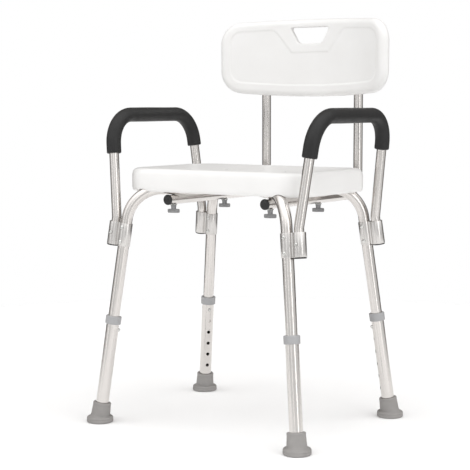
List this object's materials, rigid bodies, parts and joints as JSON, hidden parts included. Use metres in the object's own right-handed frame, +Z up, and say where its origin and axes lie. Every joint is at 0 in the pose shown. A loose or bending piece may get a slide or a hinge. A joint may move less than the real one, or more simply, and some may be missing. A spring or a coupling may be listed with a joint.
{
  "type": "shower chair",
  "caption": "Free-standing shower chair with telescoping legs, hollow moulded seat and lift-off backrest, foam-gripped armrests and snap-button height adjustment.",
  "frame": {"origin": "on the floor, under the middle of the chair's overall box", "axes": "+Z up, the sitter faces -Y, +X to the right as seen from the front"},
  "size_m": [0.5172, 0.4764, 0.8145],
  "materials": {
    "moulded_white": "satin blow-moulded polyethylene",
    "aluminium_tube": "satin anodised drawn tube",
    "steel": "bright plated",
    "brass": "turned and knurled",
    "grey_rubber": "matte moulded",
    "grey_plastic": "satin moulded",
    "knob_plastic": "fine texture",
    "black_foam": "fine closed-cell skin",
    "black_plastic": "satin moulded"
  },
  "bodies": {
    "frame": {"seat": "moulded_white", "leg_frame_upper": "aluminium_tube", "leg_frame_lower": "aluminium_tube", "double_sleeve_front_left": "aluminium_tube", "sleeve_plug_front_left": "black_plastic", "rivet_front_left_bottom": "steel", "rivet_front_left_top": "steel", "seat_nut_front_left": "brass", "double_sleeve_front_right": "aluminium_tube", "sleeve_plug_front_right": "black_plastic", "rivet_front_right_bottom": "steel", "rivet_front_right_top": "steel", "seat_nut_front_right": "brass", "double_sleeve_rear_left": "aluminium_tube", "sleeve_plug_rear_left": "black_plastic", "rivet_rear_left_bottom": "steel", "rivet_rear_left_top": "steel", "seat_nut_rear_left": "brass", "double_sleeve_rear_right": "aluminium_tube", "sleeve_plug_rear_right": "black_plastic", "rivet_rear_right_bottom": "steel", "rivet_rear_right_top": "steel", "seat_nut_rear_right": "brass", "arm_tube_left": "aluminium_tube", "arm_grip_left": "black_foam", "back_tube_left": "aluminium_tube", "back_tube_cap_left": "black_plastic", "arm_tube_right": "aluminium_tube", "arm_grip_right": "black_foam", "back_tube_right": "aluminium_tube", "back_tube_cap_right": "black_plastic"},
    "backrest": {"backrest": "moulded_white"},
    "foot_leg_front_left": {"lower_leg_front_left": "aluminium_tube", "collar_front_left": "grey_plastic", "foot_front_left": "grey_rubber"},
    "leg_catch_front_left": {"leg_button_front_left": "steel"},
    "washer_front_left": {"knob_washer_front_left": "steel"},
    "knob_front_left": {"knob_front_left": "knob_plastic"},
    "foot_leg_front_right": {"lower_leg_front_right": "aluminium_tube", "collar_front_right": "grey_plastic", "foot_front_right": "grey_rubber"},
    "leg_catch_front_right": {"leg_button_front_right": "steel"},
    "washer_front_right": {"knob_washer_front_right": "steel"},
    "knob_front_right": {"knob_front_right": "knob_plastic"},
    "foot_leg_rear_left": {"lower_leg_rear_left": "aluminium_tube", "collar_rear_left": "grey_plastic", "foot_rear_left": "grey_rubber"},
    "leg_catch_rear_left": {"leg_button_rear_left": "steel"},
    "washer_rear_left": {"knob_washer_rear_left": "steel"},
    "knob_rear_left": {"knob_rear_left": "knob_plastic"},
    "foot_leg_rear_right": {"lower_leg_rear_right": "aluminium_tube", "collar_rear_right": "grey_plastic", "foot_rear_right": "grey_rubber"},
    "leg_catch_rear_right": {"leg_button_rear_right": "steel"},
    "washer_rear_right": {"knob_washer_rear_right": "steel"},
    "knob_rear_right": {"knob_rear_right": "knob_plastic"},
    "arm_catch_left": {"arm_button_left": "steel"},
    "back_catch_left": {"back_button_left": "steel"},
    "arm_catch_right": {"arm_button_right": "steel"},
    "back_catch_right": {"back_button_right": "steel"}
  },
  "joints": [
    {"name": "leg_height_front_left", "type": "slide", "parent": "frame", "child": "foot_leg_front_left", "axis": [0.1119, 0.0861, 0.99], "range_m": [0, 0.127], "deforming": ["leg_button_front_left"]},
    {"name": "leg_button_front_left_press", "type": "slide", "parent": "frame", "child": "leg_catch_front_left", "axis": [-0.7792, -0.6107, 0.1412], "range_m": [0, 0.005], "stiffness_N_per_m": 1200},
    {"name": "washer_front_left_travel", "type": "slide", "parent": "frame", "child": "washer_front_left", "axis": [0, 0, 1], "range_m": [-0.01, 0]},
    {"name": "knob_front_left_turn", "type": "hinge", "parent": "washer_front_left", "child": "knob_front_left", "pos_m": [-0.114, -0.11913, 0.43], "axis": [0, 0, 1], "range_deg": [-3600, 0]},
    {"name": "leg_height_front_right", "type": "slide", "parent": "frame", "child": "foot_leg_front_right", "axis": [-0.1119, 0.0861, 0.99], "range_m": [0, 0.127], "deforming": ["leg_button_front_right"]},
    {"name": "leg_button_front_right_press", "type": "slide", "parent": "frame", "child": "leg_catch_front_right", "axis": [0.7792, -0.6107, 0.1412], "range_m": [0, 0.005], "stiffness_N_per_m": 1200},
    {"name": "washer_front_right_travel", "type": "slide", "parent": "frame", "child": "washer_front_right", "axis": [0, 0, 1], "range_m": [-0.01, 0]},
    {"name": "knob_front_right_turn", "type": "hinge", "parent": "washer_front_right", "child": "knob_front_right", "pos_m": [0.114, -0.11913, 0.43], "axis": [0, 0, 1], "range_deg": [-3600, 0]},
    {"name": "leg_height_rear_left", "type": "slide", "parent": "frame", "child": "foot_leg_rear_left", "axis": [0.1119, -0.0861, 0.99], "range_m": [0, 0.127], "deforming": ["leg_button_rear_left"]},
    {"name": "leg_button_rear_left_press", "type": "slide", "parent": "frame", "child": "leg_catch_rear_left", "axis": [-0.7792, 0.6107, 0.1412], "range_m": [0, 0.005], "stiffness_N_per_m": 1200},
    {"name": "washer_rear_left_travel", "type": "slide", "parent": "frame", "child": "washer_rear_left", "axis": [0, 0, 1], "range_m": [-0.01, 0]},
    {"name": "knob_rear_left_turn", "type": "hinge", "parent": "washer_rear_left", "child": "knob_rear_left", "pos_m": [-0.114, 0.05949, 0.43], "axis": [0, 0, 1], "range_deg": [-3600, 0]},
    {"name": "leg_height_rear_right", "type": "slide", "parent": "frame", "child": "foot_leg_rear_right", "axis": [-0.1119, -0.0861, 0.99], "range_m": [0, 0.127], "deforming": ["leg_button_rear_right"]},
    {"name": "leg_button_rear_right_press", "type": "slide", "parent": "frame", "child": "leg_catch_rear_right", "axis": [0.7792, 0.6107, 0.1412], "range_m": [0, 0.005], "stiffness_N_per_m": 1200},
    {"name": "washer_rear_right_travel", "type": "slide", "parent": "frame", "child": "washer_rear_right", "axis": [0, 0, 1], "range_m": [-0.01, 0]},
    {"name": "knob_rear_right_turn", "type": "hinge", "parent": "washer_rear_right", "child": "knob_rear_right", "pos_m": [0.114, 0.05949, 0.43], "axis": [0, 0, 1], "range_deg": [-3600, 0]},
    {"name": "arm_button_left_press", "type": "slide", "parent": "frame", "child": "arm_catch_left", "axis": [-0.0097, 0.9963, -0.0856], "range_m": [0, 0.0058], "stiffness_N_per_m": 1200},
    {"name": "back_button_left_press", "type": "slide", "parent": "frame", "child": "back_catch_left", "axis": [0, -1, 0], "range_m": [0, 0.006], "stiffness_N_per_m": 1200},
    {"name": "arm_button_right_press", "type": "slide", "parent": "frame", "child": "arm_catch_right", "axis": [0.0097, 0.9963, -0.0856], "range_m": [0, 0.0058], "stiffness_N_per_m": 1200},
    {"name": "back_button_right_press", "type": "slide", "parent": "frame", "child": "back_catch_right", "axis": [0, -1, 0], "range_m": [0, 0.006], "stiffness_N_per_m": 1200},
    {"name": "backrest_lift", "type": "slide", "parent": "frame", "child": "backrest", "axis": [0, 0, 1], "range_m": [0, 0.12], "deforming": ["back_button_left", "back_button_right"]}
  ],
  "couplings": [
    {"joint": "knob_front_left_turn", "follows": "washer_front_left_travel", "rad_per_m": 6283},
    {"joint": "knob_front_right_turn", "follows": "washer_front_right_travel", "rad_per_m": 6283},
    {"joint": "knob_rear_left_turn", "follows": "washer_rear_left_travel", "rad_per_m": 6283},
    {"joint": "knob_rear_right_turn", "follows": "washer_rear_right_travel", "rad_per_m": 6283}
  ]
}
